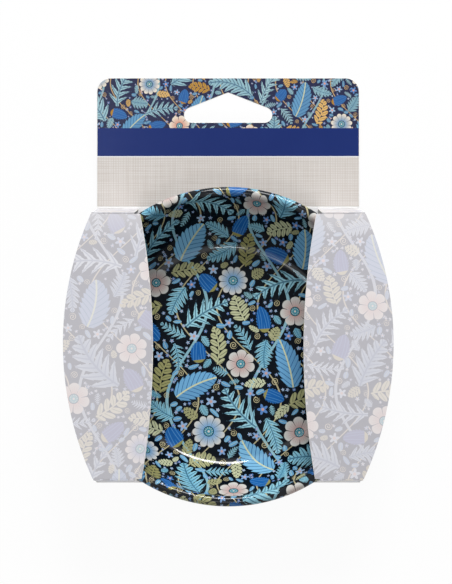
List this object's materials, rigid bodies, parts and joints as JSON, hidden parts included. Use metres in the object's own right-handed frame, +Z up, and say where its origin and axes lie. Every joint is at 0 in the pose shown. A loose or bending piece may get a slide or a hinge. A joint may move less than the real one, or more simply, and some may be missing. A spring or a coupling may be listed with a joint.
{
  "type": "magnetic pin bowl",
  "caption": "Round pressed-tin pin bowl with a rolled rim and a magnet under its floor, held in a folded card pack with curved wings, end shoulders and a hang-hole header.",
  "frame": {"origin": "underside of the card pack's back panel, straight below the bowl's centre", "axes": "+Z up out of the bowl, +Y towards the header card with the hang hole, +X to the right seen from the front"},
  "size_m": [0.1168, 0.1616, 0.0278],
  "materials": {
    "printed_tin": null,
    "ferrite": "sintered ferrite, ground faces",
    "foam_tape": "double-sided foam tape",
    "cover_plastic": "moulded with a fine satin grain",
    "pad_rubber": "soft foamed sheet",
    "plain_board": "uncoated white board",
    "header_print": null,
    "pale_print": null
  },
  "bodies": {
    "pack": {"back_panel": "plain_board", "side_wall_left": "pale_print", "side_wall_right": "pale_print"},
    "header": {"header_card": "header_print"},
    "left_wing": {"wing_left": "pale_print"},
    "right_wing": {"wing_right": "pale_print"},
    "upper_left_shoulder": {"upper_shoulder_left": "pale_print"},
    "upper_right_shoulder": {"upper_shoulder_right": "pale_print"},
    "lower_left_shoulder": {"lower_shoulder_left": "pale_print"},
    "lower_right_shoulder": {"lower_shoulder_right": "pale_print"},
    "bowl": {"dish_shell": "printed_tin", "magnet_ring": "ferrite", "magnet_tape": "foam_tape", "base_cover": "cover_plastic", "foot_pad": "pad_rubber"}
  },
  "joints": [
    {"name": "header_fold", "type": "hinge", "parent": "pack", "child": "header", "pos_m": [0, 0.0567, 0.00045], "axis": [1, 0, 0], "range_deg": [-12, 28]},
    {"name": "left_wing_open", "type": "hinge", "parent": "pack", "child": "left_wing", "pos_m": [-0.05842, 0, 0.0278], "axis": [0, -1, 0], "range_deg": [0, 120]},
    {"name": "right_wing_open", "type": "hinge", "parent": "pack", "child": "right_wing", "pos_m": [0.05842, 0, 0.0278], "axis": [0, 1, 0], "range_deg": [0, 120]},
    {"name": "upper_left_fold", "type": "hinge", "parent": "pack", "child": "upper_left_shoulder", "pos_m": [-0.0415, 0.05571, 0.00075], "axis": [-1, 0, 0], "range_deg": [0, 60]},
    {"name": "upper_right_fold", "type": "hinge", "parent": "pack", "child": "upper_right_shoulder", "pos_m": [0.0415, 0.05571, 0.00075], "axis": [-1, 0, 0], "range_deg": [0, 60]},
    {"name": "lower_left_fold", "type": "hinge", "parent": "pack", "child": "lower_left_shoulder", "pos_m": [-0.0393, -0.04647, 0.00075], "axis": [1, 0, 0], "range_deg": [0, 80]},
    {"name": "lower_right_fold", "type": "hinge", "parent": "pack", "child": "lower_right_shoulder", "pos_m": [0.0393, -0.04647, 0.00075], "axis": [1, 0, 0], "range_deg": [0, 80]},
    {"name": "bowl_turn", "type": "hinge", "parent": "pack", "child": "bowl", "pos_m": [0, 0, 0.0006], "axis": [0, 0, 1], "continuous": true}
  ]
}
